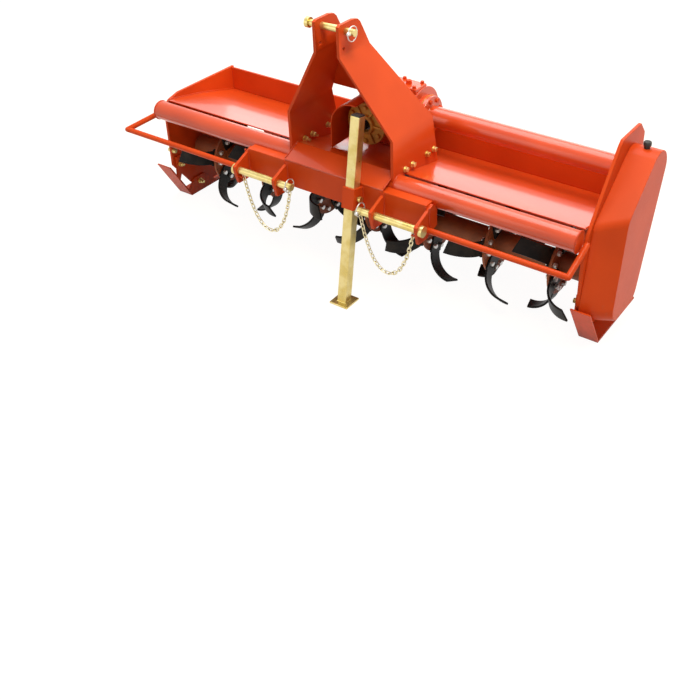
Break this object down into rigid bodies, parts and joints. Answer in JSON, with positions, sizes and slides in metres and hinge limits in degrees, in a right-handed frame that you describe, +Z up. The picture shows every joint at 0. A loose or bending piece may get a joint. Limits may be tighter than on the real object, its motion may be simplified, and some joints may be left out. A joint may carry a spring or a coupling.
{
  "type": "rotary cultivator",
  "caption": "A red rotary cultivator for a three-point hitch, with an A-shaped mast, side chain case, black curved tines, skids, guard bars and a parking stand.",
  "frame": {"origin": "middle of the footprint of the whole machine, on the ground", "axes": "X along the rotor towards the chain case, Y rearward against the travel, Z up"},
  "size_m": [2.1339, 0.8738, 1.029],
  "materials": {
    "red_paint": "gloss paint",
    "ochre_paint": "cast, primed",
    "brown_paint": "primer",
    "black_paint": "satin paint",
    "yellow_zinc": "yellow zinc",
    "bright_steel": "bright zinc",
    "dark_steel": "oiled",
    "dark_iron": "cast",
    "black_plastic": "matt"
  },
  "bodies": {
    "frame": {"front_tube": "red_paint", "deck": "red_paint", "rear_rail": "red_paint", "side_plate": "red_paint", "case_plate": "red_paint", "case_cover": "red_paint", "case_breather": "black_plastic", "skid_left": "red_paint", "skid_right": "red_paint", "hitch_beam": "red_paint", "hitch_left": "red_paint", "hitch_right": "red_paint", "mast_left": "red_paint", "mast_right": "red_paint", "mast_back": "red_paint", "mast_floor": "red_paint", "gearbox": "red_paint", "gearbox_cap": "ochre_paint", "input_shield": "red_paint", "drive_tube": "red_paint", "rotor_bearing": "dark_iron", "guard_left": "red_paint", "guard_right": "red_paint", "stand_sleeve": "red_paint", "stand_bolt": "yellow_zinc", "lower_pin_left": "yellow_zinc", "lower_pin_right": "yellow_zinc", "top_pin": "yellow_zinc", "linch_left": "bright_steel", "linch_right": "bright_steel", "linch_top": "bright_steel", "chain_left": "yellow_zinc", "chain_right": "yellow_zinc", "hinge_rod": "bright_steel"},
    "rotor": {"rotor_shaft": "brown_paint", "tines_left": "black_paint", "tines_right": "black_paint"},
    "input": {"input_shaft": "dark_steel"},
    "stand": {"stand": "yellow_zinc"},
    "tailboard": {"tailboard": "red_paint"}
  },
  "joints": [
    {"name": "rotor_spin", "type": "hinge", "parent": "frame", "child": "rotor", "pos_m": [0.007, -0.02212, 0.218], "axis": [1, 0, 0], "continuous": true},
    {"name": "input_spin", "type": "hinge", "parent": "frame", "child": "input", "pos_m": [0.007, -0.07012, 0.575], "axis": [0, 1, 0], "continuous": true},
    {"name": "tailboard_hinge", "type": "hinge", "parent": "frame", "child": "tailboard", "pos_m": [0.007, 0.29288, 0.396], "axis": [1, 0, 0], "range_deg": [0, 65]},
    {"name": "stand_slide", "type": "slide", "parent": "frame", "child": "stand", "axis": [0, 0.1736, 0.9848], "range_m": [0, 0.055]}
  ],
  "couplings": [
    {"joint": "input_spin", "follows": "rotor_spin", "ratio": 2.6}
  ]
}
